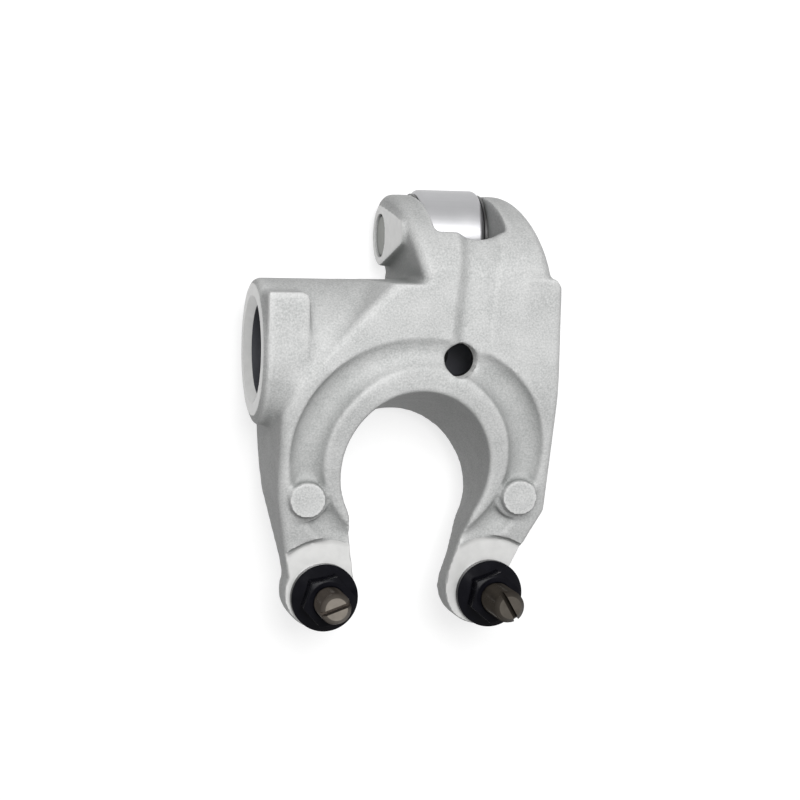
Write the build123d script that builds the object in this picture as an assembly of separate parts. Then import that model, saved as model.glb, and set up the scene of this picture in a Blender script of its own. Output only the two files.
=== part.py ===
from build123d import *
import os
from math import asin, atan, atan2, cos, degrees, hypot, pi, radians, sin, sqrt, tan

# Forked roller rocker arm for an overhead-camshaft engine with four valves to a cylinder.
# All sizes in millimetres. The origin is on the rocker shaft's axis, midway between the two screws.
# X runs along the shaft, +Y points to the roller and +Z to the side that carries the lock nuts.

# Rocker shaft barrel
BORE_R = 10.0
BARREL_WALL = 5.5
BARREL_LEFT = 34.5
BARREL_RIGHT = 30.5
BORE_CHAMFER = 1.7
BARREL_EDGE = 1.0

# Flat pads on the two ends of the barrel
LEFT_PAD_IN = 8.9
LEFT_PAD_RISE = 0.8
LEFT_PAD_REACH = 13.1
LEFT_PAD_INSET = 0.6
RIGHT_PAD_IN = 9.1
RIGHT_PAD_INSET = 0.9
RIGHT_PAD_REACH = 16.7
RIGHT_PAD_RISE = 0.6
RIGHT_PAD_RUN = 7.0
PAD_CORNER_R = 1.6

# Arm levels
DECK_RISE = 1.0
DECK_END_Y = -8.0
DECK_FRONT_Y = 20.0
LEG_TOP_Z = 6.2
LEG_TOP_Y = -43.0
LEG_SOLE_Z = -3.0
LEG_SOLE_Y = -46.0
LEG_ROOT_Y = -20.0
SOLE_INSET = 0.5

# Arm outline seen from above
SHOULDER_X = -6.8
SHOULDER_Y = 15.2
GUSSET_X = -28.3
GUSSET_Y = -6.2
GUSSET_SLOPE = 14.0
WALL_DRAFT = 1.5
LEFT_SIDE_X = -30.2
LEFT_SIDE_Y = -14.0
LEFT_TAPER_X = -29.7
LEFT_TAPER_Y = -31.0
LEFT_NECK_X = -26.9
LEFT_NECK_Y = -45.5
RIGHT_SIDE_X = 30.3
RIGHT_TAPER_Y = -34.2
RIGHT_NECK_X = 25.0
RIGHT_NECK_Y = -44.6

# Gap for the injector tube between the two legs
GAP_R = 16.5
GAP_Y = -24.1
GAP_TILT = 12.0
GAP_NECK_Y = -33.0
GAP_MOUTH_Y = -47.5
GAP_NECK_R = 6.0
GAP_MOUTH_R = 8.0
GAP_EDGE_R = 0.8

# Fork tips
SCREW_SPREAD = 18.7
SCREW_Y = -53.6
TIP_R = 7.7
TIP_SETBACK = 0.6
LEFT_TIP_SHIFT = 0.9
RIGHT_TIP_SHIFT = 2.0
SEAT_Z = 5.0
SEAT_R = 12.9

# Cooling and oil channel round the gap, and the round ejector pads in it
CHANNEL_R = 24.25
CHANNEL_HALF_WIDTH = 3.75
CHANNEL_DEPTH = 2.4
CHANNEL_TILT = 13.6
CHANNEL_SHIFT = 1.1
CHANNEL_STOP = 0.3
PAD_X = 23.7
PAD_Y = -31.5
PAD_R = 3.9
PAD_BASE_R = 5.0
PAD_RISE = 1.5
PAD_BASE_RISE = 1.6

# Oil hole and trough
OIL_X = 8.3
OIL_Y = -1.1
OIL_R = 3.65
TROUGH_LEFT_X = 7.8
TROUGH_WIDTH = 9.5
TROUGH_WALL = 2.4
TROUGH_DEPTH = 1.8
TROUGH_MIDDLE = 1.1
TROUGH_RISE = 0.5
TROUGH_LEAN = 2.2
TROUGH_END_Y = 1.0
NOTCH_X = 12.8
NOTCH_R = 8.3
NOTCH_DIP = 1.6

# Roller end
PIN_Y = 25.0
PIN_Z = -12.5
PIN_R = 4.75
EAR_R = 9.3
EAR_LEFT_R = 2.2
EAR_BEND_R = 15.0
EAR_RIGHT_R = 3.0
EAR_CREST_Y = 17.0
EAR_BACK_Y = 10.0
LEFT_EAR_X = -3.2
LEFT_EAR_ROOT_X = -0.8
LEFT_EAR_ROOT_Y = 17.2
LEFT_EAR_BEND_Y = 26.8
RIGHT_EAR_X = 25.2
RIGHT_EAR_ROOT_X = 28.6
RIGHT_EAR_BEND_Y = 30.5
EAR_PAD_RISE = 0.6
EAR_PAD_R = 6.8
EAR_PAD_TIP_Y = 25.9
EAR_PAD_TIP_Z = 6.0
EAR_PAD_TIP_R = 2.9
WEB_THICKNESS = 7.0
WEB_EDGE_Y = 26.3

# Roller, needles and thrust washers
ROLLER_R = 10.5
ROLLER_WIDTH = 14.4
ROLLER_CENTRE_X = 10.95
ROLLER_EDGE_R = 1.3
ROLLER_ROOM = 1.0
NEEDLE_R = 0.98
NEEDLE_PLAY = 0.03
NEEDLE_GAP = 0.03
NEEDLE_END_PLAY = 0.15
NEEDLE_CROWN = 0.2
WASHER_T = 0.55
WASHER_R = 9.6
WASHER_BORE_PLAY = 0.1
AXIAL_PLAY = 0.12
PIN_RECESS = 0.5
PIN_BLIND = 3.2
PIN_CHAMFER = 0.5

# Adjusting screws, lock nuts and swivel feet
SCREW_R = 3.5
THREAD_PLAY = 0.05
SCREW_LENGTH = 31.0
SCREW_CHAMFER = 1.1
LEFT_SCREW_TOP = 19.0
RIGHT_SCREW_TOP = 22.0
SLOT_WIDTH = 1.0
SLOT_DEPTH = 2.2
LEFT_SLOT_ANGLE = 20.0
RIGHT_SLOT_ANGLE = -60.0
NECK_R = 1.9
NECK_LENGTH = 2.0
BALL_R = 2.6
FOOT_R = 4.2
FOOT_HEIGHT = 4.6
FOOT_PLAY = 0.05
FOOT_EDGE = 0.4
FOOT_FLOOR = 1.2
NUT_FLATS = 10.0
NUT_HEIGHT = 6.8
NUT_FLANGE_R = 7.4
NUT_FLANGE_EDGE = 1.6
NUT_FLANGE_RISE = 3.0
LEFT_NUT_ANGLE = 12.0
RIGHT_NUT_ANGLE = 20.0

# Casting radii
SIDE_R = 1.2
LEG_BEND_R = 30.0
RIDGE_R = 2.0

barrel_r = BORE_R + BARREL_WALL
sole_r = barrel_r - SOLE_INSET
barrel_length = BARREL_LEFT + BARREL_RIGHT
deck_z = barrel_r + DECK_RISE
leg_slope = (deck_z - LEG_TOP_Z) / (DECK_END_Y - LEG_TOP_Y)
slot_half = ROLLER_WIDTH / 2 + WASHER_T + 2 * AXIAL_PLAY
slot_left = ROLLER_CENTRE_X - slot_half
slot_right = ROLLER_CENTRE_X + slot_half
left_tip_x = -SCREW_SPREAD - LEFT_TIP_SHIFT
right_tip_x = SCREW_SPREAD - RIGHT_TIP_SHIFT
tip_y = SCREW_Y + TIP_SETBACK
crest_reach = PIN_Y + EAR_R - EAR_CREST_Y
arm_span = 2 * (BARREL_LEFT + BARREL_RIGHT)


def deck_level(y):
    """Height of the arm's top at a given y, on the flat deck or on the slope of the legs."""
    if y >= DECK_END_Y:
        return deck_z
    return max(LEG_TOP_Z, deck_z - leg_slope * (DECK_END_Y - y))


def upright(sketch, low, high):
    """A sketch drawn on XY, raised from one level to another."""
    return extrude(Pos(0, 0, low) * sketch, high - low, dir=(0, 0, 1))


def across(sketch, left, right):
    """A sketch drawn on the YZ plane, carried along the shaft from one x to another."""
    return extrude(Pos(left, 0, 0) * (Plane.YZ * sketch), right - left, dir=(1, 0, 0))


def rod(radius, left, right, y=0.0, z=0.0):
    """A round bar along the shaft direction."""
    return across(Pos(y, z) * Circle(radius), left, right)


def post(radius, x, y, low, high):
    """A round bar along Z."""
    return upright(Pos(x, y) * Circle(radius), low, high)


def lower_tangent():
    """Where the line under the arm, seen along the shaft, touches the ear's round and the barrel."""
    turn = atan2(PIN_Z, PIN_Y) - pi / 2 + asin((sole_r - EAR_R) / hypot(PIN_Y, PIN_Z))
    ear_foot = (PIN_Y + EAR_R * cos(turn), PIN_Z + EAR_R * sin(turn))
    barrel_foot = (sole_r * cos(turn), sole_r * sin(turn))
    return ear_foot, barrel_foot


def leg_profile():
    """Plate and legs seen along the shaft: level deck, sloping legs, level tips."""
    ear_foot, barrel_foot = lower_tangent()
    fall = (ear_foot[1] - barrel_foot[1]) / (ear_foot[0] - barrel_foot[0])
    front_sole = barrel_foot[1] + fall * (DECK_FRONT_Y - barrel_foot[0])
    outline = Polygon(
        (DECK_FRONT_Y, deck_z),
        (DECK_END_Y, deck_z),
        (LEG_TOP_Y, LEG_TOP_Z),
        (SCREW_Y, LEG_TOP_Z),
        (SCREW_Y, LEG_SOLE_Z),
        (LEG_SOLE_Y, LEG_SOLE_Z),
        (LEG_ROOT_Y, -sole_r),
        barrel_foot,
        (DECK_FRONT_Y, front_sole),
        align=None,
    )
    corners = outline.vertices().filter_by_position(Axis.X, LEG_TOP_Y - 0.5, DECK_FRONT_Y - 0.5)
    bends = [corner for corner in corners if corner.X < barrel_foot[0]]
    return fillet(bends, LEG_BEND_R)


def ear_profile():
    """The roller end seen along the shaft, rounded about the roller's pin."""
    ear_foot, barrel_foot = lower_tangent()
    ear_front = (PIN_Y + EAR_R, PIN_Z)
    ear_turn = atan2(ear_foot[1] - PIN_Z, ear_foot[0] - PIN_Y) / 2
    ear_low = (PIN_Y + EAR_R * cos(ear_turn), PIN_Z + EAR_R * sin(ear_turn))
    fall = (ear_foot[1] - barrel_foot[1]) / (ear_foot[0] - barrel_foot[0])
    back_foot = (EAR_BACK_Y, barrel_foot[1] + fall * (EAR_BACK_Y - barrel_foot[0]))
    outline = [
        EllipticalCenterArc((EAR_CREST_Y, PIN_Z), crest_reach, deck_z - PIN_Z),
        ThreePointArc(ear_front, ear_low, ear_foot),
        Polyline(ear_foot, back_foot, (EAR_BACK_Y, deck_z), (EAR_CREST_Y, deck_z)),
    ]
    return make_face(outline)


def beyond(start, end, slope):
    """Everything outside one side of the arm's outline, whose wall spreads downwards by a slope."""
    run = (Vector(*end) - Vector(*start)).normalized()
    outward = Vector(run.Y, -run.X)
    normal = outward * cos(radians(slope)) + Vector(0, 0, sin(radians(slope)))
    wall = Plane(origin=(start[0], start[1], deck_z), x_dir=run, z_dir=normal)
    return extrude(wall * Rectangle(2 * arm_span, 2 * arm_span), arm_span, dir=normal)


def rim(shape, side):
    """The upper edges of the arm on one side, leaving out the creases that run along the shaft."""
    edges = []
    for edge in shape.edges():
        middle = edge @ 0.5
        on_top = middle.Y > LEG_TOP_Y and middle.Z > deck_level(middle.Y) - RIDGE_R / 2
        if on_top and side * middle.X > SCREW_SPREAD / 4 and abs((edge % 0.5).X) < 0.99:
            edges.append(edge)
    return edges


def ear_rim(shape, side):
    """The rounded outer edges of one ear, from the deck round the front."""
    edges = []
    for edge in shape.edges():
        middle = edge @ 0.5
        outside = side * (middle.X - ROLLER_CENTRE_X) > slot_half
        if outside and middle.Y > 0 and middle.Z > PIN_Z and abs((edge % 0.5).Z) < 0.999:
            edges.append(edge)
    return edges


def plate():
    """Deck and closed fork, with drafted walls and rounded upper edges."""
    shoulder = (SHOULDER_X, SHOULDER_Y)
    gusset = (GUSSET_X, GUSSET_Y)
    left_side = (LEFT_SIDE_X, LEFT_SIDE_Y)
    left_taper = (LEFT_TAPER_X, LEFT_TAPER_Y)
    left_neck = (LEFT_NECK_X, LEFT_NECK_Y)
    right_neck = (RIGHT_NECK_X, RIGHT_NECK_Y)
    right_taper = (RIGHT_SIDE_X, RIGHT_TAPER_Y)
    right_corner = (RIGHT_SIDE_X, SHOULDER_Y)
    block = across(leg_profile(), -arm_span, arm_span)
    below = Box(arm_span, arm_span, arm_span, align=(Align.MAX, Align.MIN, Align.MAX))
    block -= Pos(LEFT_EAR_ROOT_X, 0, 0) * below
    block -= beyond(right_corner, shoulder, WALL_DRAFT)
    block -= beyond(shoulder, gusset, GUSSET_SLOPE)
    block -= beyond(gusset, left_side, GUSSET_SLOPE / 2)
    block -= beyond(left_side, left_taper, WALL_DRAFT)
    block -= beyond(left_taper, left_neck, WALL_DRAFT)
    block -= beyond(right_neck, right_taper, WALL_DRAFT)
    block -= beyond(right_taper, right_corner, 0)
    block = fillet(rim(block, -1), RIDGE_R)
    return fillet(rim(block, 1), SIDE_R)


def ears():
    """Roller end as one block with the pin's pad, before the roller's pocket is cut."""
    block = across(ear_profile(), -arm_span, arm_span)
    left_root = (LEFT_EAR_ROOT_X, LEFT_EAR_ROOT_Y)
    left_bend = (LEFT_EAR_X, LEFT_EAR_BEND_Y)
    right_root = (RIGHT_EAR_ROOT_X, SHOULDER_Y)
    right_bend = (RIGHT_EAR_X, RIGHT_EAR_BEND_Y)
    block -= beyond((LEFT_EAR_X, PIN_Y + EAR_R), left_bend, 0)
    block -= beyond(left_bend, left_root, 0)
    block -= beyond(right_root, right_bend, 0)
    uprights = block.edges().filter_by(Axis.Z)
    bends = uprights.filter_by(lambda edge: LEFT_EAR_ROOT_Y < (edge @ 0.5).Y < PIN_Y + EAR_R / 2)
    block = fillet(bends, EAR_BEND_R)
    block = fillet(ear_rim(block, -1), EAR_LEFT_R)
    block = fillet(ear_rim(block, 1), EAR_RIGHT_R)
    pad_face = make_hull(
        [
            *(Pos(PIN_Y, PIN_Z) * Circle(EAR_PAD_R)).edges(),
            *(Pos(EAR_PAD_TIP_Y, EAR_PAD_TIP_Z) * Circle(EAR_PAD_TIP_R)).edges(),
        ]
    )
    return block + across(pad_face, LEFT_EAR_X - EAR_PAD_RISE, slot_left)


def gap_cutter():
    """Tube gap: a round hole that narrows to the mouth between the tips, tilted with the tube."""
    mouth_left = left_tip_x + TIP_R
    mouth_right = right_tip_x - TIP_R
    half_neck = sqrt(GAP_R**2 - (GAP_NECK_Y - GAP_Y) ** 2)
    mouth = Polygon(
        (-half_neck, GAP_NECK_Y),
        (mouth_left, GAP_MOUTH_Y),
        (mouth_left, tip_y - 3 * TIP_R),
        (mouth_right, tip_y - 3 * TIP_R),
        (mouth_right, GAP_MOUTH_Y),
        (half_neck, GAP_NECK_Y),
        align=None,
    )
    throat = Pos(0, GAP_Y) * Circle(GAP_R) + mouth
    for level, radius in ((GAP_NECK_Y, GAP_NECK_R), (GAP_MOUTH_Y, GAP_MOUTH_R)):
        corners = throat.vertices().filter_by_position(Axis.Y, level - GAP_EDGE_R, level + GAP_EDGE_R)
        throat = fillet(corners, radius)
    lean = tan(radians(GAP_TILT))
    tilted = extrude(Pos(0, 0, deck_z) * throat, 3 * deck_z, dir=(0, -lean, -1))
    raised = extrude(Pos(0, 0, deck_z) * throat, deck_z, dir=(0, lean, 1))
    return tilted + raised


def gap_rim(shape):
    """The upper edges of the gap, as far as the fork's tips."""
    edges = []
    for edge in shape.edges():
        middle = edge @ 0.5
        across_gap = abs(middle.X) < GAP_R + GAP_EDGE_R
        along_gap = GAP_MOUTH_Y < middle.Y < GAP_Y + GAP_R + RIDGE_R
        if across_gap and along_gap and abs(middle.Z - deck_level(middle.Y)) < SIDE_R:
            edges.append(edge)
    return edges


def roller_pocket():
    """Room for the roller: open to the front and below, closed above by the web."""
    room = ROLLER_R + ROLLER_ROOM
    pocket_top = deck_z - WEB_THICKNESS
    low = PIN_Z - 2 * room
    back = PIN_Y - room
    section = Polygon(
        (PIN_Y, pocket_top),
        (back + WEB_THICKNESS / 2, pocket_top),
        (back, pocket_top - WEB_THICKNESS / 2),
        (back, PIN_Z),
        (back + WEB_THICKNESS / 2, low),
        (PIN_Y + 2 * room, low),
        (PIN_Y + 2 * room, 2 * deck_z),
        (WEB_EDGE_Y, 2 * deck_z),
        (WEB_EDGE_Y, pocket_top),
        align=None,
    )
    return across(section, slot_left, slot_right)


def channel_cutter():
    """Shallow round-bottomed channel that follows the gap on the deck and down the legs."""
    ball_r = (CHANNEL_HALF_WIDTH**2 + CHANNEL_DEPTH**2) / (2 * CHANNEL_DEPTH)
    level = deck_level(GAP_Y) + ball_r - CHANNEL_DEPTH
    ring = Pos(0, GAP_Y + CHANNEL_SHIFT, level) * Rot(CHANNEL_TILT, 0, 0) * Torus(CHANNEL_R, ball_r)
    above = Box(arm_span, arm_span, arm_span, align=(Align.CENTER, Align.CENTER, Align.MIN))
    return ring & Pos(0, 0, SEAT_Z + CHANNEL_STOP) * above


def trough_cutter():
    """Oil trough from the roller to the oil hole: steep on its left side, easy on its right."""
    wall_slope = TROUGH_WALL / TROUGH_DEPTH
    floor_left = (TROUGH_WALL, -TROUGH_DEPTH)
    right_lip = (TROUGH_WIDTH, TROUGH_RISE)
    section = make_face(
        [
            Polyline(right_lip, (-wall_slope * TROUGH_RISE, TROUGH_RISE), floor_left),
            ThreePointArc(floor_left, ((TROUGH_WALL + TROUGH_WIDTH) / 2, -TROUGH_MIDDLE), right_lip),
        ]
    )
    reach = WEB_EDGE_Y - TROUGH_END_Y
    crest = EAR_CREST_Y - WEB_EDGE_Y
    front_turn = degrees(asin((NOTCH_R / 2 - crest) / crest_reach))
    path = Plane.YZ * (
        Line((-reach, deck_z), (crest, deck_z))
        + EllipticalCenterArc((crest, PIN_Z), crest_reach, deck_z - PIN_Z, 90, arc_size=-front_turn)
    )
    start = Plane(origin=(0, -reach, deck_z), x_dir=(1, 0, 0), z_dir=(0, -1, 0))
    groove = sweep(start * section, path)
    lean = degrees(atan(TROUGH_LEAN / reach))
    return Pos(TROUGH_LEFT_X, WEB_EDGE_Y, 0) * Rot(0, 0, -lean) * groove


def rocker_body():
    arm = plate() + ears()
    for tip_x in (left_tip_x, right_tip_x):
        arm += post(TIP_R, tip_x, tip_y, LEG_SOLE_Z, LEG_TOP_Z)
    arm -= gap_cutter()
    arm = fillet(gap_rim(arm), GAP_EDGE_R)
    barrel = rod(barrel_r, -BARREL_LEFT, BARREL_RIGHT)
    barrel = chamfer(barrel.edges().filter_by(GeomType.CIRCLE), BARREL_EDGE)

    left_end = -BARREL_LEFT + LEFT_PAD_INSET
    left_pad = upright(
        Polygon(
            (left_end, 0),
            (left_end, LEFT_PAD_REACH),
            (left_end + LEFT_PAD_IN, LEFT_PAD_REACH),
            (left_end + LEFT_PAD_IN, 0),
            align=None,
        ),
        0,
        barrel_r + LEFT_PAD_RISE,
    )
    left_corner = left_pad.edges().filter_by(Axis.Z).sort_by(Axis.X)[-2:].sort_by(Axis.Y)[-1]
    left_pad = fillet(left_corner, PAD_CORNER_R)
    collar = rod(barrel_r + LEFT_PAD_RISE, left_end, left_end + LEFT_PAD_IN)
    towards_fork = Box(arm_span, arm_span, arm_span, align=(Align.CENTER, Align.MAX, Align.CENTER))
    left_pad += collar & towards_fork
    right_pad = across(
        Polygon(
            (RIGHT_PAD_REACH, 0),
            (RIGHT_PAD_REACH, deck_z + RIGHT_PAD_RISE),
            (RIGHT_PAD_REACH - RIGHT_PAD_RUN, deck_z),
            (RIGHT_PAD_REACH - RIGHT_PAD_RUN, 0),
            align=None,
        ),
        BARREL_RIGHT - RIGHT_PAD_IN,
        BARREL_RIGHT - RIGHT_PAD_INSET,
    )
    right_corner = right_pad.edges().filter_by(Axis.Z).sort_by(Axis.Y)[-2:]
    right_pad = fillet(right_corner, PAD_CORNER_R)

    body = arm + barrel + left_pad + right_pad
    body -= gap_cutter()
    body -= channel_cutter()
    body -= trough_cutter()

    for side in (-1, 1):
        top = deck_level(PAD_Y) + PAD_RISE
        floor = deck_level(PAD_Y) - CHANNEL_DEPTH
        body += post(PAD_BASE_R, side * PAD_X, PAD_Y, LEG_SOLE_Z, floor + PAD_BASE_RISE)
        body += post(PAD_R, side * PAD_X, PAD_Y, LEG_SOLE_Z, top)
        body -= post(SEAT_R, side * SCREW_SPREAD, SCREW_Y, SEAT_Z, 3 * deck_z)
        body -= post(SCREW_R + THREAD_PLAY, side * SCREW_SPREAD, SCREW_Y, -3 * deck_z, 3 * deck_z)

    body -= roller_pocket()
    body -= post(NOTCH_R, NOTCH_X, WEB_EDGE_Y - NOTCH_DIP + NOTCH_R, deck_z - WEB_THICKNESS, 2 * deck_z)
    body -= rod(PIN_R, LEFT_EAR_X - 2 * EAR_PAD_RISE, slot_right + PIN_BLIND, PIN_Y, PIN_Z)
    body -= post(OIL_R, OIL_X, OIL_Y, 0, 2 * deck_z)
    body -= rod(BORE_R, -2 * BARREL_LEFT, 2 * BARREL_RIGHT)
    for end, outward in ((-BARREL_LEFT, -1), (BARREL_RIGHT, 1)):
        cone = Cone(BORE_R, BORE_R + 2 * BORE_CHAMFER, 2 * BORE_CHAMFER)
        body -= Pos(end, 0, 0) * Rot(0, outward * 90, 0) * cone
    return body


def roller():
    left = ROLLER_CENTRE_X - ROLLER_WIDTH / 2
    right = ROLLER_CENTRE_X + ROLLER_WIDTH / 2
    tyre = rod(ROLLER_R, left, right, PIN_Y, PIN_Z)
    tyre = fillet(tyre.edges().filter_by(GeomType.CIRCLE), ROLLER_EDGE_R)
    race_r = PIN_R + 2 * NEEDLE_R + 2 * NEEDLE_PLAY
    return tyre - rod(race_r, left, right, PIN_Y, PIN_Z)


def roller_pin():
    left = LEFT_EAR_X - EAR_PAD_RISE + PIN_RECESS
    pin = rod(PIN_R, left, slot_right + PIN_BLIND, PIN_Y, PIN_Z)
    return chamfer(pin.edges().filter_by(GeomType.CIRCLE), PIN_CHAMFER)


def thrust_washer(side):
    inner = ROLLER_CENTRE_X + side * (ROLLER_WIDTH / 2 + AXIAL_PLAY)
    outer = inner + side * WASHER_T
    left, right = min(inner, outer), max(inner, outer)
    disc = rod(WASHER_R, left, right, PIN_Y, PIN_Z)
    return disc - rod(PIN_R + WASHER_BORE_PLAY, left, right, PIN_Y, PIN_Z)


def needles():
    pitch_r = PIN_R + NEEDLE_PLAY + NEEDLE_R
    count = int(pi / asin((NEEDLE_R + NEEDLE_GAP / 2) / pitch_r))
    half = ROLLER_WIDTH / 2 - NEEDLE_END_PLAY
    row = {}
    for index in range(count):
        turn = 2 * pi * index / count
        y = PIN_Y + pitch_r * cos(turn)
        z = PIN_Z + pitch_r * sin(turn)
        needle = rod(NEEDLE_R, ROLLER_CENTRE_X - half, ROLLER_CENTRE_X + half, y, z)
        row[f"needle_{index + 1:02d}"] = chamfer(needle.edges().filter_by(GeomType.CIRCLE), NEEDLE_CROWN)
    return row


def adjusting_screw(side, top, slot_angle):
    """Threaded shank with a slotted end above and a ball below, drawn at its major diameter."""
    ball_z = top - SCREW_LENGTH
    shank_low = ball_z + NECK_LENGTH
    shank = chamfer(
        post(SCREW_R, 0, 0, shank_low, top).edges().filter_by(GeomType.CIRCLE).sort_by(Axis.Z)[-1],
        SCREW_CHAMFER,
    )
    slot = Pos(0, 0, top) * Rot(0, 0, slot_angle) * Box(4 * SCREW_R, SLOT_WIDTH, 2 * SLOT_DEPTH)
    screw = shank - slot + post(NECK_R, 0, 0, ball_z, shank_low) + Pos(0, 0, ball_z) * Sphere(BALL_R)
    return Pos(side * SCREW_SPREAD, SCREW_Y, 0) * screw


def swivel_foot(side, top):
    """Flat-soled foot that snaps over the screw's ball."""
    ball_z = top - SCREW_LENGTH
    sole = ball_z - BALL_R - FOOT_PLAY - FOOT_FLOOR
    block = post(FOOT_R, 0, 0, sole, sole + FOOT_HEIGHT)
    block = chamfer(block.edges().filter_by(GeomType.CIRCLE), FOOT_EDGE)
    socket = Pos(0, 0, ball_z) * Sphere(BALL_R + FOOT_PLAY)
    return Pos(side * SCREW_SPREAD, SCREW_Y, 0) * (block - socket)


def lock_nut(side, turn):
    """Hexagon nut with a dished flange, its corners eased by a cone."""
    corner_r = NUT_FLATS / sqrt(3)
    hexagon = Rot(0, 0, turn) * RegularPolygon(corner_r, 6)
    ease = corner_r - NUT_FLATS / 2
    core = upright(hexagon, SEAT_Z, SEAT_Z + NUT_HEIGHT)
    envelope = revolve(
        Plane.XZ
        * Polygon(
            (0, SEAT_Z),
            (NUT_FLANGE_R, SEAT_Z),
            (corner_r, SEAT_Z + NUT_FLANGE_RISE),
            (corner_r, SEAT_Z + NUT_HEIGHT - ease / 2),
            (NUT_FLATS / 2 - ease / 2, SEAT_Z + NUT_HEIGHT),
            (0, SEAT_Z + NUT_HEIGHT),
            align=None,
        ),
        Axis.Z,
    )
    skirt = revolve(
        Plane.XZ
        * Polygon(
            (0, SEAT_Z),
            (NUT_FLANGE_R, SEAT_Z),
            (NUT_FLANGE_R, SEAT_Z + NUT_FLANGE_EDGE),
            (NUT_FLATS / 2, SEAT_Z + NUT_FLANGE_RISE),
            (0, SEAT_Z + NUT_FLANGE_RISE),
            align=None,
        ),
        Axis.Z,
    )
    nut = (core & envelope) + skirt
    nut -= post(SCREW_R + THREAD_PLAY, 0, 0, SEAT_Z, SEAT_Z + NUT_HEIGHT)
    return Pos(side * SCREW_SPREAD, SCREW_Y, 0) * nut


parts = {
    "rocker_body": rocker_body(),
    "roller": roller(),
    "roller_pin": roller_pin(),
    "thrust_washer_left": thrust_washer(-1),
    "thrust_washer_right": thrust_washer(1),
    "adjusting_screw_left": adjusting_screw(-1, LEFT_SCREW_TOP, LEFT_SLOT_ANGLE),
    "adjusting_screw_right": adjusting_screw(1, RIGHT_SCREW_TOP, RIGHT_SLOT_ANGLE),
    "lock_nut_left": lock_nut(-1, LEFT_NUT_ANGLE),
    "lock_nut_right": lock_nut(1, RIGHT_NUT_ANGLE),
    "swivel_foot_left": swivel_foot(-1, LEFT_SCREW_TOP),
    "swivel_foot_right": swivel_foot(1, RIGHT_SCREW_TOP),
    **needles(),
}

os.makedirs("parts", exist_ok=True)
for name, solid in parts.items():
    export_step(solid, f"parts/{name}.step")
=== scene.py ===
import math

import bmesh
import bpy
import numpy as np
from mathutils import Matrix, Vector


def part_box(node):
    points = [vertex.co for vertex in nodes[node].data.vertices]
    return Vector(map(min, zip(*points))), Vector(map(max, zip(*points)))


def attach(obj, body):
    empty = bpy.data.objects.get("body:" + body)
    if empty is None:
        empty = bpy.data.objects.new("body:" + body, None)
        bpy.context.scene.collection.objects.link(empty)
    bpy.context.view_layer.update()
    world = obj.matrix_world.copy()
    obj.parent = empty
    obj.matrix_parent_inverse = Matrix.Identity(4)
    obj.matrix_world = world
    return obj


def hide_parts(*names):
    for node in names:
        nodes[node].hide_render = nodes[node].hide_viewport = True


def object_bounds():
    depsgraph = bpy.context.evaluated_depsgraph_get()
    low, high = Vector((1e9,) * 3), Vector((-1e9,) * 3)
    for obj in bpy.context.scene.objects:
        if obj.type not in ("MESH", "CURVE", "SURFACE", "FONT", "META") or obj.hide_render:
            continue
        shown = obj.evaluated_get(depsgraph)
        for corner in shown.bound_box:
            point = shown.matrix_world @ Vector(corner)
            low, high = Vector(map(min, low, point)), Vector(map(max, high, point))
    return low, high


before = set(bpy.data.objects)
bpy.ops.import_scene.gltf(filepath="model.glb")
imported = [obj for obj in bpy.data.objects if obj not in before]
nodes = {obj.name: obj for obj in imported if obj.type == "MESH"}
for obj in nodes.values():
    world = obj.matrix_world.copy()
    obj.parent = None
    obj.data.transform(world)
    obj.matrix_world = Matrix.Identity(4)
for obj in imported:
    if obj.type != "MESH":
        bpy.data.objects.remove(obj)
cad_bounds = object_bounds()

X, Y, Z = range(3)

# Decimals of a metre that are kept of a box's size or place
DECIMALS = 5


def centre(node, axis):
    """The middle of a node's box along one axis."""
    low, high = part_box(node)
    return round((low[axis] + high[axis]) / 2, DECIMALS)


def span(node, axis):
    """The size of a node's box along one axis."""
    low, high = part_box(node)
    return round(high[axis] - low[axis], DECIMALS)


# Places and sizes read off the model's pieces, in metres
BARREL_LEFT = round(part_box("rocker_body")[0].x, DECIMALS)
BARREL_RIGHT = round(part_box("rocker_body")[1].x, DECIMALS)
SEAT_Z = round(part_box("lock_nut_right")[0].z, DECIMALS)
SCREW_X = centre("lock_nut_right", X)
SCREW_Y = centre("lock_nut_right", Y)
SCREW_R = span("adjusting_screw_left", X) / 2
PIN_Y = centre("roller_pin", Y)
PIN_Z = centre("roller_pin", Z)
PIN_R = span("roller_pin", Z) / 2

# Features of the casting, as in the CAD source
BORE_R = 0.0100
BORE_CHAMFER = 0.0017
SEAT_R = 0.0129
OIL_X = 0.0083
OIL_Y = -0.0011
OIL_R = 0.00365
GAP_Y = -0.0241
CHANNEL_R = 0.02425
CHANNEL_HALF_WIDTH = 0.00375
EJECTOR_X = 0.0237
EJECTOR_Y = -0.0315
EJECTOR_R = 0.0039
EAR_FACE_X = -0.0032

# Bounds of the left ear's raised pad: its reach below the pin, its top and its two sides
EAR_PAD_REACH = 0.0080
EAR_PAD_TOP = 0.0100
EAR_PAD_NEAR_X = EAR_FACE_X - 0.00045
EAR_PAD_FAR_X = -0.0100

# The screw below its thread, and its slotted end, as in the CAD source
BALL_R = 0.0026
NECK_R = 0.0019
NECK_LENGTH = 0.0020
SCREW_CHAMFER = 0.0011
SLOT_WIDTH = 0.0010
SLOT_DEPTH = 0.0022
SLOT_ANGLES = {"left": 20.0, "right": -60.0}
BALL_TO_TOP = span("adjusting_screw_left", Z) - BALL_R

# The thread, which the solids leave out, and its rows of points in each pitch
THREAD_PITCH = 0.00075
THREAD_DEPTH = 0.00040
THREAD_STEPS = 6

# Softening of the casting's skin
SKIN_VOXEL = 0.0005
SKIN_EDGE_KEEP = 0.0004
RELAX = 0.5
SOFTEN_PASSES = 4
FILLET_PASSES = 36
NORMAL_REFRESH = 6
BEND_PASSES = 3
CREASE_ANGLE = 28.0

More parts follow.
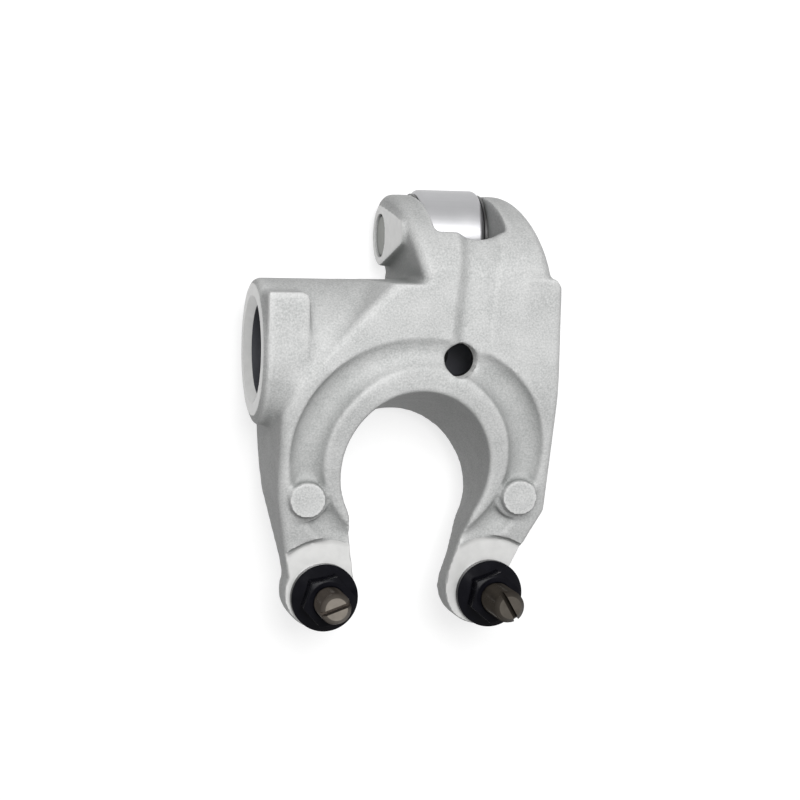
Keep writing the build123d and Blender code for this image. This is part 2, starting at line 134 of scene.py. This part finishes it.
# Where the large fillets fade in: past the channel, left of the middle and above the sides' lower half
FILLET_REACH = CHANNEL_R + CHANNEL_HALF_WIDTH + 0.001
FILLET_BLEND = 0.002
FILLET_FADE_X = (0.0005, 0.0025)
FILLET_FADE_Z = (-0.012, -0.006)

# Facets round each turned shape, and the least size of a ring or a step
PLUG_FACETS = 128
BORE_FACETS = 160
OIL_FACETS = 96
SCREW_FACETS = 80
BALL_STEPS = 14
HAIR = 1e-6

# How near a point is to a machined face to count as on it
SEAT_TOUCH = 0.00015
BORE_TOUCH = 0.00005
END_TOUCH = 0.00008
OIL_TOUCH = 0.00035

# Colours of the casting, with painted shade for its hollows, grooves, bore and oil hole and a painted
# highlight for its ridges
CAST_DARK = (0.355, 0.363, 0.360)
CAST_LIGHT = (0.435, 0.441, 0.438)
CAST_SPECKLE = (0.76, 0.76, 0.755)
# Painted shade in the casting's hollows
HOLLOW_PAINTED_SHADE = (0.15, 0.16, 0.155)
# Painted shade in the casting's grooves
GROOVE_PAINTED_SHADE = (0.19, 0.195, 0.19)
# Painted highlight on the casting's ridges
RIDGE_PAINTED_HIGHLIGHT = (0.86, 0.86, 0.85)
MACHINED_DARK = (0.52, 0.52, 0.515)
MACHINED_LIGHT = (0.66, 0.66, 0.65)
# Painted shade inside the bore
BORE_PAINTED_SHADE = (0.085, 0.088, 0.10)
# Painted shade deep in the oil hole, and the height below which it is painted
OIL_PAINTED_SHADE = (0.006, 0.006, 0.007)
OIL_PAINTED_SHADE_TOP_Z = 0.0115

# How far each of those marks goes at most, and the (position, level) stops it is read from; the hollow and
# groove marks are painted shade and the ridge mark is a painted highlight
MOTTLE_STOPS = ((0.35, 0.0), (0.65, 1.0))
SPECKLE_STOPS = ((0.30, 0.0), (0.72, 1.0))
SPECKLE_SHARE = 0.50
HOLLOW_SHADE_STOPS = ((0.36, 1.0), (0.92, 0.0))
HOLLOW_SHADE_SHARE = 0.75
HOLLOW_REACH = 0.012
HOLLOW_SAMPLES = 8
GROOVE_SHADE_STOPS = ((0.01, 0.0), (0.22, 1.0))
GROOVE_SHADE_SHARE = 0.60
RIDGE_HIGHLIGHT_STOPS = ((0.01, 0.0), (0.28, 1.0))
RIDGE_HIGHLIGHT_SHARE = 0.75

# Textures: scale in cycles to the metre, and detail; the grinding lines are stretched by their own scales
GRAIN_NOISE = (2600.0, 3.0)
MOTTLE_NOISE = (170.0, 3.0)
PITTING_NOISE = (520.0, 3.0)
MACHINED_NOISE = (420.0, 3.0)
STEEL_NOISE = (260.0, 3.0)
GRINDING_NOISE = (1.0, 4.0)
SCREW_NOISE = (700.0, 4.0)
OXIDE_NOISE = (420.0, 4.0)
FLOOR_NOISE = (6.0, 2.0)

# Turning marks on the seats, in radians to the metre
TURNING_RATE = 16000.0

# Surface marks: strength, and depth in metres
PITTING = (0.12, 0.0006)
GRAIN = (0.45, 0.00012)
MACHINED_GRAIN_STRENGTH = 0.04
TURNING = (0.04, 0.00002)
GRINDING = (0.15, 0.00002)
SCREW_GRAIN = (0.25, 0.00008)
OXIDE_GRAIN = (0.14, 0.0001)

# Roughness from and to, and the share of metal and of plain reflection
CAST_ROUGH = (0.56, 0.68)
CAST_METALLIC = 0.05
CAST_IOR_LEVEL = 0.35
MACHINED_ROUGH = (0.26, 0.36)
MACHINED_METALLIC = 0.45
SCREW_ROUGH = (0.30, 0.46)
SCREW_METALLIC = 0.90
OXIDE_ROUGH = (0.18, 0.34)
OXIDE_IOR_LEVEL = 0.05
FLOOR_ROUGH = 0.9

# Bright steels by the start of a node's name; the grinding lines have a scale along each axis
STEELS = {
    "roller": dict(
        name="ground_steel",
        dark=(0.36, 0.36, 0.37),
        light=(0.46, 0.46, 0.47),
        roughness=(0.36, 0.44),
        line_scales=(60.0, 4000.0, 4000.0),
    ),
    "roller_pin": dict(
        name="pin_steel",
        dark=(0.12, 0.125, 0.115),
        light=(0.20, 0.205, 0.19),
        roughness=(0.36, 0.48),
        line_scales=(900.0, 900.0, 900.0),
    ),
    "thrust": dict(
        name="washer_steel",
        dark=(0.07, 0.07, 0.07),
        light=(0.15, 0.15, 0.15),
        roughness=(0.30, 0.42),
        line_scales=(300.0, 1500.0, 1500.0),
    ),
    "needle": dict(
        name="needle_steel",
        dark=(0.46, 0.46, 0.47),
        light=(0.60, 0.60, 0.61),
        roughness=(0.16, 0.24),
        line_scales=(90.0, 3000.0, 3000.0),
    ),
    "swivel": dict(
        name="foot_steel",
        dark=(0.34, 0.33, 0.32),
        light=(0.48, 0.47, 0.46),
        roughness=(0.26, 0.36),
        line_scales=(1800.0, 1800.0, 200.0),
    ),
}

# The screws' dark sides and their paler slotted ends, which are a painted highlight, and how far each is
# clouded
SCREW_STEELS = {
    "left": ((0.030, 0.025, 0.021), (0.20, 0.18, 0.155)),
    "right": ((0.018, 0.015, 0.012), (0.09, 0.08, 0.068)),
}
SIDE_CLOUD = 1.8
END_CLOUD = 0.7
END_HIGHLIGHT_STOPS = ((0.0, 1.0), (0.06, 0.35), (1.0, 0.0))

# Black oxide of the nuts
OXIDE_DARK = (0.002, 0.002, 0.003)
OXIDE_LIGHT = (0.007, 0.007, 0.010)
NUT_EDGE_R = 0.0004
NUT_EDGE_SAMPLES = 6

# Floor just below the roller, and the fill light from all round
FLOOR_GAP = 0.0006
FLOOR_Z = round(cad_bounds[0].z - FLOOR_GAP, 4)
FLOOR_SIZE = 6.0
FLOOR_DARK = (0.30, 0.30, 0.30)
FLOOR_LIGHT = (0.33, 0.33, 0.33)
FLOOR_GLOW = 0.76
WORLD_FILL = 0.12
WHITE = (1.0, 1.0, 1.0, 1.0)

# Square lamps: place, width and power
LAMPS = {
    "key": ((-0.04, 0.17, 0.60), 0.26, 4.1),
    "edge": ((-0.27, 0.20, 0.49), 0.07, 0.30),
}
LAMP_AIM = Vector((0, -0.01, 0))

# Camera, placed from the photograph's perspective, with its angles in degrees
CAMERA_AT = (-0.10190, 0.02725, 0.39763)
CAMERA_TILT = -5.4944
CAMERA_TURN = -14.1458
LENS_MM = 83.93
SENSOR_MM = 36.0
CLIP_START = 0.01


def show(name, mesh, body, node):
    """A mesh as a piece that rides on a body and stands for a CAD node."""
    piece = bpy.data.objects.new(name, mesh)
    bpy.context.scene.collection.objects.link(piece)
    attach(piece, body)
    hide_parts(node)
    return piece


def as_mesh(shape, name):
    """A mesh from a bmesh, which is freed."""
    mesh = bpy.data.meshes.new(name)
    shape.to_mesh(mesh)
    shape.free()
    return mesh


def lathe(profile, facets, limit=None):
    """A closed mesh turned about Z from (height, radius) pairs, held within limit(height, turn) if given."""
    shape = bmesh.new()
    rings = []
    for height, radius in profile:
        ring = []
        for index in range(facets):
            turn = 2 * math.pi * index / facets
            reach = radius if limit is None else min(radius, limit(height, turn))
            ring.append(shape.verts.new((reach * math.cos(turn), reach * math.sin(turn), height)))
        rings.append(ring)
    for low, high in zip(rings, rings[1:]):
        for index in range(facets):
            after = (index + 1) % facets
            shape.faces.new((low[index], low[after], high[after], high[index]))
    shape.faces.new(reversed(rings[0]))
    shape.faces.new(rings[-1])
    return as_mesh(shape, "turned")


def evaluated(mesh, kind, **settings):
    """The mesh after one modifier."""
    holder = bpy.data.objects.new("holder", mesh)
    bpy.context.scene.collection.objects.link(holder)
    modifier = holder.modifiers.new(kind.lower(), kind)
    for key, value in settings.items():
        setattr(modifier, key, value)
    depsgraph = bpy.context.evaluated_depsgraph_get()
    result = bpy.data.meshes.new_from_object(holder.evaluated_get(depsgraph))
    bpy.data.objects.remove(holder)
    return result


def cut(mesh, cutter):
    """The mesh less a cutter mesh."""
    tool = bpy.data.objects.new("tool", cutter)
    bpy.context.scene.collection.objects.link(tool)
    result = evaluated(mesh, "BOOLEAN", operation="DIFFERENCE", solver="EXACT", object=tool)
    bpy.data.objects.remove(tool)
    return result


def joined(first, second):
    """Two meshes as one, with nothing merged."""
    shape = bmesh.new()
    shape.from_mesh(first)
    shape.from_mesh(second)
    return as_mesh(shape, "joined")


def shade(mesh):
    """Smooth shading that keeps machined edges crisp."""
    mesh.shade_smooth()
    mesh.set_sharp_from_angle(angle=math.radians(CREASE_ANGLE))


class Skin:
    """The points of a mesh, for smoothing them in bulk."""

    def __init__(self, mesh):
        self.mesh = mesh
        self.count = len(mesh.vertices)
        places = np.empty(self.count * 3)
        mesh.vertices.foreach_get("co", places)
        self.places = places.reshape(-1, 3)
        ends = np.empty(len(mesh.edges) * 2, dtype=np.int64)
        mesh.edges.foreach_get("vertices", ends)
        first, second = ends.reshape(-1, 2).T
        self.here = np.concatenate([first, second])
        self.there = np.concatenate([second, first])
        self.degree = np.bincount(self.here, minlength=self.count)

    def around(self, values):
        """The mean of a value over each point's neighbours."""
        return np.bincount(self.here, values[self.there], self.count) / self.degree

    def pull(self):
        """How far each point lies from the middle of its neighbours."""
        return np.stack([self.around(column) for column in self.places.T], axis=1) - self.places

    def normals(self):
        self.store()
        normals = np.empty(self.count * 3)
        self.mesh.vertices.foreach_get("normal", normals)
        return normals.reshape(-1, 3)

    def soften(self, passes, weight):
        for _ in range(passes):
            self.places += RELAX * weight * self.pull()

    def fill_corners(self, passes, weight):
        """Adds metal in inner corners only, as a casting's fillets do."""
        for step in range(passes):
            if step % NORMAL_REFRESH == 0:
                normals = self.normals()
            outward = (self.pull() * normals).sum(axis=1, keepdims=True)
            self.places += RELAX * weight * np.maximum(outward, 0) * normals

    def bend(self, passes):
        """How far each point stands proud of its neighbours, in voxels, evened out along the skin."""
        proud = -(self.pull() * self.normals()).sum(axis=1) / SKIN_VOXEL
        for _ in range(passes):
            proud = (proud + self.around(proud)) / 2
        return proud

    def store(self):
        self.mesh.vertices.foreach_set("co", self.places.ravel())
        self.mesh.update()


def ramp(value, low, high):
    """0 below low, 1 above high, straight between them."""
    return np.clip((value - low) / (high - low), 0, 1)


def cast_weights(places):
    """How freely each point moves along each axis, and how much of a large fillet its inner corners get."""
    x, y, z = places.T
    from_screw = np.hypot(np.abs(x) - SCREW_X, y - SCREW_Y)
    below_seat = z < SEAT_Z - SKIN_EDGE_KEEP
    seat = (from_screw < SEAT_R + SKIN_EDGE_KEEP) & ~below_seat
    screw_hole = from_screw < SCREW_R + 2 * SKIN_EDGE_KEEP
    pin_hole = (np.hypot(y - PIN_Y, z - PIN_Z) < PIN_R + 2 * SKIN_EDGE_KEEP) & (x < -EAR_FACE_X)
    ear_pad = (x < EAR_FACE_X + SKIN_EDGE_KEEP) & (y > PIN_Y - EAR_PAD_REACH) & (z < EAR_PAD_TOP)
    ejector = np.hypot(np.abs(x) - EJECTOR_X, y - EJECTOR_Y) < EJECTOR_R + SKIN_EDGE_KEEP
    weights = np.ones_like(places)
    weights[seat | ejector, Z] = 0
    weights[ear_pad, X] = 0
    weights[screw_hole | pin_hole] = 0

    outside_channel = ramp(np.hypot(x, y - GAP_Y), FILLET_REACH, FILLET_REACH + FILLET_BLEND)
    upper_left = outside_channel * ramp(-x, *FILLET_FADE_X) * ramp(z, *FILLET_FADE_Z)
    short_of_ejector = y < EJECTOR_Y - EJECTOR_R - SKIN_EDGE_KEEP
    tips = (np.abs(x) > SCREW_X) & (y > SCREW_Y) & short_of_ejector & below_seat
    as_cast = weights.all(axis=1)
    return weights, (as_cast * np.maximum(upper_left, tips))[:, None]


def shaft_bar(radius, mouth_r, overrun, facets):
    """A bar along the shaft's axis that widens towards both of its ends."""
    depth = 2 * BORE_CHAMFER
    left = BARREL_LEFT - overrun
    right = BARREL_RIGHT + overrun
    bar = lathe([(left, mouth_r), (left + depth, radius), (right - depth, radius), (right, mouth_r)], facets)
    bar.transform(Matrix.Rotation(math.pi / 2, 4, "Y"))
    return bar


def casting():
    """The body with the soft skin of a casting, its bore cut through it afterwards."""
    plug_r = BORE_R + SKIN_EDGE_KEEP
    plug = shaft_bar(plug_r, plug_r + BORE_CHAMFER, 0.0, PLUG_FACETS)
    blank = joined(nodes["rocker_body"].data, plug)
    skin = Skin(evaluated(blank, "REMESH", mode="VOXEL", voxel_size=SKIN_VOXEL, adaptivity=0.0))
    freedom, corners = cast_weights(skin.places)
    skin.fill_corners(FILLET_PASSES, corners)
    skin.soften(SOFTEN_PASSES, freedom)
    skin.store()

    mesh = cut(skin.mesh, shaft_bar(BORE_R, BORE_R + 2 * BORE_CHAMFER, BORE_CHAMFER, BORE_FACETS))
    oil_hole = lathe([(0.0, OIL_R), (2 * BORE_R, OIL_R)], OIL_FACETS)
    oil_hole.transform(Matrix.Translation((OIL_X, OIL_Y, 0)))
    mesh = cut(mesh, oil_hole)
    shade(mesh)
    # How far each point stands proud, which the casting's colour reads for painted shade in grooves and a
    # painted highlight on ridges
    proud = mesh.attributes.new("proud", "FLOAT", "POINT")
    proud.data.foreach_set("value", Skin(mesh).bend(BEND_PASSES))
    return show("rocker_body_cast", mesh, "arm", "rocker_body")


def screw_profile(top):
    """The screw's outline from the ball's tip to the slotted end, as (height, radius) pairs."""
    ball_z = top - BALL_TO_TOP
    shank_z = ball_z + NECK_LENGTH
    chamfer_z = top - SCREW_CHAMFER
    neck_turn = math.asin(NECK_R / BALL_R)
    profile = []
    for index in range(BALL_STEPS + 1):
        turn = math.pi - (math.pi - neck_turn) * index / BALL_STEPS
        profile.append((ball_z + BALL_R * math.cos(turn), BALL_R * math.sin(turn) + HAIR))
    profile += [(shank_z - HAIR, NECK_R), (shank_z, SCREW_R - THREAD_DEPTH)]
    rows = round((chamfer_z - shank_z) / (THREAD_PITCH / THREAD_STEPS))
    step = (chamfer_z - shank_z) / rows
    profile += [(shank_z + step * row, SCREW_R) for row in range(1, rows + 1)]
    rows = round(SCREW_CHAMFER / step)
    for row in range(1, rows + 1):
        inward = SCREW_CHAMFER * row / rows
        profile.append((chamfer_z + inward, SCREW_R - inward))
    return profile


def thread_radius(height, turn):
    """The radius of the thread's flanks, crest to root and back once in each pitch."""
    phase = height / THREAD_PITCH - turn / (2 * math.pi)
    return SCREW_R - THREAD_DEPTH * 2 * abs(phase - round(phase))


def slot_cutter(angle, top):
    """A box across the screw's end."""
    shape = bmesh.new()
    bmesh.ops.create_cube(shape, size=1.0)
    scale = Matrix.Diagonal((4 * SCREW_R, SLOT_WIDTH, 2 * SLOT_DEPTH, 1.0))
    turn = Matrix.Rotation(math.radians(angle), 4, "Z")
    bmesh.ops.transform(shape, matrix=Matrix.Translation((0, 0, top)) @ turn @ scale, verts=shape.verts)
    return as_mesh(shape, "slot")


def adjusting_screw(side):
    """A slotted screw with its thread, a neck and a ball."""
    node = f"adjusting_screw_{side}"
    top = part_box(node)[1].z
    blank = lathe(screw_profile(top), SCREW_FACETS, thread_radius)
    mesh = cut(blank, slot_cutter(SLOT_ANGLES[side], top))
    mesh.transform(Matrix.Translation((SCREW_X if side == "right" else -SCREW_X, SCREW_Y, 0)))
    shade(mesh)
    return show(f"{node}_threaded", mesh, f"screw_{side}", node)


class Shader:
    """A material's node tree with short helpers for its usual nodes."""

    def __init__(self, name):
        self.material = bpy.data.materials.new(name)
        self.material.use_nodes = True
        self.tree = self.material.node_tree
        self.nodes = self.tree.nodes
        self.bsdf = self.nodes["Principled BSDF"]
        self.place = self.add("ShaderNodeTexCoord").outputs["Object"]
        split = self.add("ShaderNodeSeparateXYZ")
        self.link(self.place, split.inputs[0])
        self.x, self.y, self.z = split.outputs

    def add(self, kind):
        return self.nodes.new(kind)

    def link(self, source, target):
        self.tree.links.new(source, target)

    def put(self, value, socket):
        """A plain value goes on the socket itself, and an output is linked to it."""
        if isinstance(value, (int, float, tuple)):
            socket.default_value = value
        else:
            self.link(value, socket)

    def surface(self, **values):
        """Sets inputs of the surface, named with underscores for spaces."""
        for key, value in values.items():
            self.put(value, self.bsdf.inputs[key.replace("_", " ")])

    def math(self, operation, first, second=0.0):
        node = self.add("ShaderNodeMath")
        node.operation = operation
        self.put(first, node.inputs[0])
        self.put(second, node.inputs[1])
        return node.outputs[0]

    def noise(self, scale, detail, place=None):
        node = self.add("ShaderNodeTexNoise")
        node.inputs["Scale"].default_value = scale
        node.inputs["Detail"].default_value = detail
        self.link(place or self.place, node.inputs["Vector"])
        return node.outputs["Fac"]

    def stretch(self, factors):
        node = self.add("ShaderNodeVectorMath")
        node.operation = "MULTIPLY"
        self.link(self.place, node.inputs[0])
        node.inputs[1].default_value = factors
        return node.outputs[0]

    def ramp(self, value, stops):
        """A value read off a line through (position, level) stops."""
        node = self.add("ShaderNodeValToRGB")
        self.link(value, node.inputs[0])
        elements = node.color_ramp.elements
        while len(elements) < len(stops):
            elements.new(0.5)
        for element, (position, level) in zip(elements, stops):
            element.position = position
            element.color = (level, level, level, 1.0)
        return node.outputs["Color"]

    def mix(self, share, first, second):
        """Two colours, the second by its share."""
        node = self.add("ShaderNodeMix")
        node.data_type = "RGBA"
        self.put(share, node.inputs["Factor"])
        for colour, socket in ((first, node.inputs["A"]), (second, node.inputs["B"])):
            self.put((*colour, 1.0) if isinstance(colour, tuple) else colour, socket)
        return node.outputs["Result"]

    def tint(self, colour, mask, share, target):
        """A colour moved towards another where a mask is set, by a share at most."""
        return self.mix(self.math("MULTIPLY", mask, share), colour, target)

    def blend(self, share, first, second):
        """Two numbers, the second by its share."""
        node = self.add("ShaderNodeMix")
        node.data_type = "FLOAT"
        self.put(share, node.inputs["Factor"])
        self.put(first, node.inputs["A"])
        self.put(second, node.inputs["B"])
        return node.outputs["Result"]

    def bump(self, height, strength, distance, normal=None):
        node = self.add("ShaderNodeBump")
        self.put(strength, node.inputs["Strength"])
        node.inputs["Distance"].default_value = distance
        self.link(height, node.inputs["Height"])
        if normal is not None:
            self.link(normal, node.inputs["Normal"])
        return node.outputs["Normal"]

    def bevel(self, radius, samples):
        node = self.add("ShaderNodeBevel")
        node.samples = samples
        node.inputs["Radius"].default_value = radius
        return node.outputs["Normal"]

    def radius_from(self, first, second, first_at=0.0, second_at=0.0):
        a = self.math("SUBTRACT", first, first_at)
        b = self.math("SUBTRACT", second, second_at)
        return self.math("SQRT", self.math("ADD", self.math("MULTIPLY", a, a), self.math("MULTIPLY", b, b)))

    def inside(self, value, low, high):
        above = self.math("GREATER_THAN", value, low)
        return self.math("MULTIPLY", above, self.math("LESS_THAN", value, high))

    def from_screw(self):
        """The distance from the nearer screw's axis."""
        axis = self.math("MULTIPLY", self.math("SIGN", self.x), SCREW_X)
        return self.radius_from(self.math("SUBTRACT", self.x, axis), self.y, 0.0, SCREW_Y)


def cast_colour(s, grain, mottle):
    """Grey speckled metal, with painted shade in hollows and grooves and a painted highlight on ridges."""
    colour = s.mix(s.ramp(mottle, MOTTLE_STOPS), CAST_DARK, CAST_LIGHT)
    colour = s.tint(colour, s.ramp(grain, SPECKLE_STOPS), SPECKLE_SHARE, CAST_SPECKLE)
    # Painted shade where ambient occlusion finds a hollow
    hollow = s.add("ShaderNodeAmbientOcclusion")
    hollow.samples = HOLLOW_SAMPLES
    hollow.inputs["Distance"].default_value = HOLLOW_REACH
    colour = s.tint(colour, s.ramp(hollow.outputs["AO"], HOLLOW_SHADE_STOPS), HOLLOW_SHADE_SHARE, HOLLOW_PAINTED_SHADE)
    bend = s.add("ShaderNodeAttribute")
    bend.attribute_name = "proud"
    proud = bend.outputs["Fac"]
    # Painted shade where the skin is sunk, in grooves
    sunk = s.math("MULTIPLY", proud, -1.0)
    colour = s.tint(colour, s.ramp(sunk, GROOVE_SHADE_STOPS), GROOVE_SHADE_SHARE, GROOVE_PAINTED_SHADE)
    # Painted highlight where the skin stands proud, on ridges
    return s.tint(colour, s.ramp(proud, RIDGE_HIGHLIGHT_STOPS), RIDGE_HIGHLIGHT_SHARE, RIDGE_PAINTED_HIGHLIGHT)


def seat_mask(s, from_screw):
    """Set on the spot faces under the lock nuts."""
    level = s.inside(s.z, SEAT_Z - SEAT_TOUCH, SEAT_Z + SEAT_TOUCH)
    return s.math("MULTIPLY", level, s.math("LESS_THAN", from_screw, SEAT_R))


def chamfer_mask(s, from_shaft):
    """Set on the chamfers at the bore's two mouths."""
    mid_barrel = s.inside(s.x, BARREL_LEFT + 2 * BORE_CHAMFER, BARREL_RIGHT - 2 * BORE_CHAMFER)
    mouth = s.inside(from_shaft, BORE_R + BORE_TOUCH, BORE_R + BORE_CHAMFER + BORE_TOUCH)
    return s.math("MULTIPLY", mouth, s.math("SUBTRACT", 1.0, mid_barrel))


def face_mask(s):
    """Set on the barrel's two ends and on the raised pad of the left ear."""
    left_end = s.math("LESS_THAN", s.x, BARREL_LEFT + END_TOUCH)
    ends = s.math("ADD", left_end, s.math("GREATER_THAN", s.x, BARREL_RIGHT - END_TOUCH))
    near_pin = s.math("GREATER_THAN", s.y, PIN_Y - EAR_PAD_REACH)
    ear_pad = s.math("MULTIPLY", near_pin, s.inside(s.x, EAR_PAD_FAR_X, EAR_PAD_NEAR_X))
    return s.math("MAXIMUM", ends, ear_pad)


def cast_aluminium():
    """As-cast skin with machined faces, painted shade in the bore and darker painted shade deep in the oil
    hole.
    """
    s = Shader("cast_aluminium")
    grain = s.noise(*GRAIN_NOISE)
    mottle = s.noise(*MOTTLE_NOISE)
    from_screw = s.from_screw()
    from_shaft = s.radius_from(s.y, s.z)
    from_oil = s.radius_from(s.x, s.y, OIL_X, OIL_Y)
    seat = seat_mask(s, from_screw)
    machined = s.math("MAXIMUM", s.math("MAXIMUM", seat, chamfer_mask(s, from_shaft)), face_mask(s))

    machined_colour = s.mix(s.noise(*MACHINED_NOISE), MACHINED_DARK, MACHINED_LIGHT)
    colour = s.mix(machined, cast_colour(s, grain, mottle), machined_colour)
    # Painted shade inside the bore
    colour = s.mix(s.math("LESS_THAN", from_shaft, BORE_R + BORE_TOUCH), colour, BORE_PAINTED_SHADE)
    # Painted shade deep in the oil hole
    drilled = s.math("LESS_THAN", from_oil, OIL_R + OIL_TOUCH)
    deep = s.math("LESS_THAN", s.z, OIL_PAINTED_SHADE_TOP_Z)
    colour = s.mix(s.math("MULTIPLY", drilled, deep), colour, OIL_PAINTED_SHADE)

    pitting_strength, pitting_depth = PITTING
    grain_strength, grain_depth = GRAIN
    turning_strength, turning_depth = TURNING
    coarse = s.bump(s.noise(*PITTING_NOISE), s.blend(machined, pitting_strength, 0.0), pitting_depth)
    fine = s.bump(grain, s.blend(machined, grain_strength, MACHINED_GRAIN_STRENGTH), grain_depth, coarse)
    turning = s.math("SINE", s.math("MULTIPLY", from_screw, TURNING_RATE))
    s.surface(
        Base_Color=colour,
        Roughness=s.blend(machined, s.blend(mottle, *CAST_ROUGH), s.blend(grain, *MACHINED_ROUGH)),
        Metallic=s.blend(machined, CAST_METALLIC, MACHINED_METALLIC),
        Specular_IOR_Level=CAST_IOR_LEVEL,
        Normal=s.bump(turning, s.math("MULTIPLY", seat, turning_strength), turning_depth, fine),
    )
    return s.material


def steel(name, dark, light, roughness, line_scales):
    """Bright steel with grinding lines."""
    s = Shader(name)
    lines = s.noise(*GRINDING_NOISE, s.stretch(line_scales))
    cloud = s.noise(*STEEL_NOISE)
    s.surface(
        Base_Color=s.mix(s.blend(0.5, lines, cloud), dark, light),
        Roughness=s.blend(cloud, *roughness),
        Metallic=1.0,
        Normal=s.bump(lines, *GRINDING),
    )
    return s.material


def screw_steel(side, dark, light):
    """Dark brown steel, with a painted highlight making the slotted end paler."""
    s = Shader(f"screw_steel_{side}")
    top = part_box(f"adjusting_screw_{side}")[1].z
    cloud = s.noise(*SCREW_NOISE)
    below_top = s.math("DIVIDE", s.math("SUBTRACT", top, s.z), SCREW_CHAMFER)
    # Painted highlight: the slotted end paler than the sides
    end = s.ramp(below_top, END_HIGHLIGHT_STOPS)
    metal = s.mix(cloud, dark, tuple(SIDE_CLOUD * level for level in dark))
    end_painted_highlight = s.mix(cloud, tuple(END_CLOUD * level for level in light), light)
    s.surface(
        Base_Color=s.mix(end, metal, end_painted_highlight),
        Roughness=s.blend(cloud, *SCREW_ROUGH),
        Metallic=SCREW_METALLIC,
        Normal=s.bump(cloud, *SCREW_GRAIN),
    )
    return s.material


def black_oxide():
    """Glossy black nuts with slightly broken edges."""
    s = Shader("black_oxide")
    cloud = s.noise(*OXIDE_NOISE)
    s.surface(
        Base_Color=s.mix(cloud, OXIDE_DARK, OXIDE_LIGHT),
        Roughness=s.blend(cloud, *OXIDE_ROUGH),
        Metallic=0.0,
        Specular_IOR_Level=OXIDE_IOR_LEVEL,
        Normal=s.bump(cloud, *OXIDE_GRAIN, s.bevel(NUT_EDGE_R, NUT_EDGE_SAMPLES)),
    )
    return s.material


def floor_material():
    """A pale floor that the camera and reflections see as white, and that keeps the shadow."""
    s = Shader("floor")
    path = s.add("ShaderNodeLightPath").outputs
    seen = s.math("MAXIMUM", path["Is Camera Ray"], path["Is Glossy Ray"])
    seen = s.math("MAXIMUM", seen, path["Is Transmission Ray"])
    s.surface(
        Base_Color=s.mix(s.noise(*FLOOR_NOISE), FLOOR_DARK, FLOOR_LIGHT),
        Roughness=FLOOR_ROUGH,
        Emission_Color=WHITE,
        Emission_Strength=s.math("MULTIPLY", seen, FLOOR_GLOW),
    )
    return s.material


def dress():
    """Every piece with its material."""
    steels = {start: steel(**recipe) for start, recipe in STEELS.items()}
    choice = {**steels, "lock_nut": black_oxide()}
    dressed = {casting(): cast_aluminium()}
    for side, shades in SCREW_STEELS.items():
        dressed[adjusting_screw(side)] = screw_steel(side, *shades)
    for name, node in nodes.items():
        starts = [start for start in choice if name.startswith(start)]
        if starts:
            dressed[node] = choice[max(starts, key=len)]
    for piece, material in dressed.items():
        piece.data.materials.clear()
        piece.data.materials.append(material)


def add_floor():
    bpy.ops.mesh.primitive_plane_add(size=FLOOR_SIZE, location=(0, 0, FLOOR_Z))
    floor = bpy.context.object
    floor.name = "floor"
    floor.data.materials.append(floor_material())


def add_world():
    """White where it is seen straight, mirrored or through glass, and a weak fill for the rest."""
    world = bpy.data.worlds.new("studio")
    world.use_nodes = True
    tree = world.node_tree
    background = tree.nodes["Background"]
    path = tree.nodes.new("ShaderNodeLightPath")
    seen = path.outputs["Is Camera Ray"]
    for kind in ("Is Glossy Ray", "Is Transmission Ray"):
        either = tree.nodes.new("ShaderNodeMath")
        either.operation = "MAXIMUM"
        tree.links.new(seen, either.inputs[0])
        tree.links.new(path.outputs[kind], either.inputs[1])
        seen = either.outputs[0]
    strength = tree.nodes.new("ShaderNodeMix")
    strength.data_type = "FLOAT"
    strength.inputs["A"].default_value = WORLD_FILL
    strength.inputs["B"].default_value = 1.0
    tree.links.new(seen, strength.inputs["Factor"])
    tree.links.new(strength.outputs["Result"], background.inputs["Strength"])
    background.inputs["Color"].default_value = WHITE
    bpy.context.scene.world = world


def add_lamp(name, place, width, power):
    data = bpy.data.lights.new(name, "AREA")
    data.shape = "RECTANGLE"
    data.size = width
    data.size_y = width
    data.energy = power
    lamp = bpy.data.objects.new(name, data)
    lamp.location = place
    lamp.rotation_euler = (LAMP_AIM - Vector(place)).to_track_quat("-Z", "Y").to_euler()
    bpy.context.scene.collection.objects.link(lamp)


def add_camera():
    data = bpy.data.cameras.new("camera")
    data.lens = LENS_MM
    data.sensor_width = SENSOR_MM
    data.clip_start = CLIP_START
    camera = bpy.data.objects.new("camera", data)
    tilt = Matrix.Rotation(math.radians(CAMERA_TILT), 4, "X")
    turn = Matrix.Rotation(math.radians(CAMERA_TURN), 4, "Y")
    camera.matrix_world = Matrix.Translation(CAMERA_AT) @ tilt @ turn
    bpy.context.scene.collection.objects.link(camera)
    bpy.context.scene.camera = camera


def stage():
    add_floor()
    add_world()
    for name, lamp in LAMPS.items():
        add_lamp(name, *lamp)
    add_camera()
    bpy.context.scene.view_settings.view_transform = "Standard"


dress()
stage()
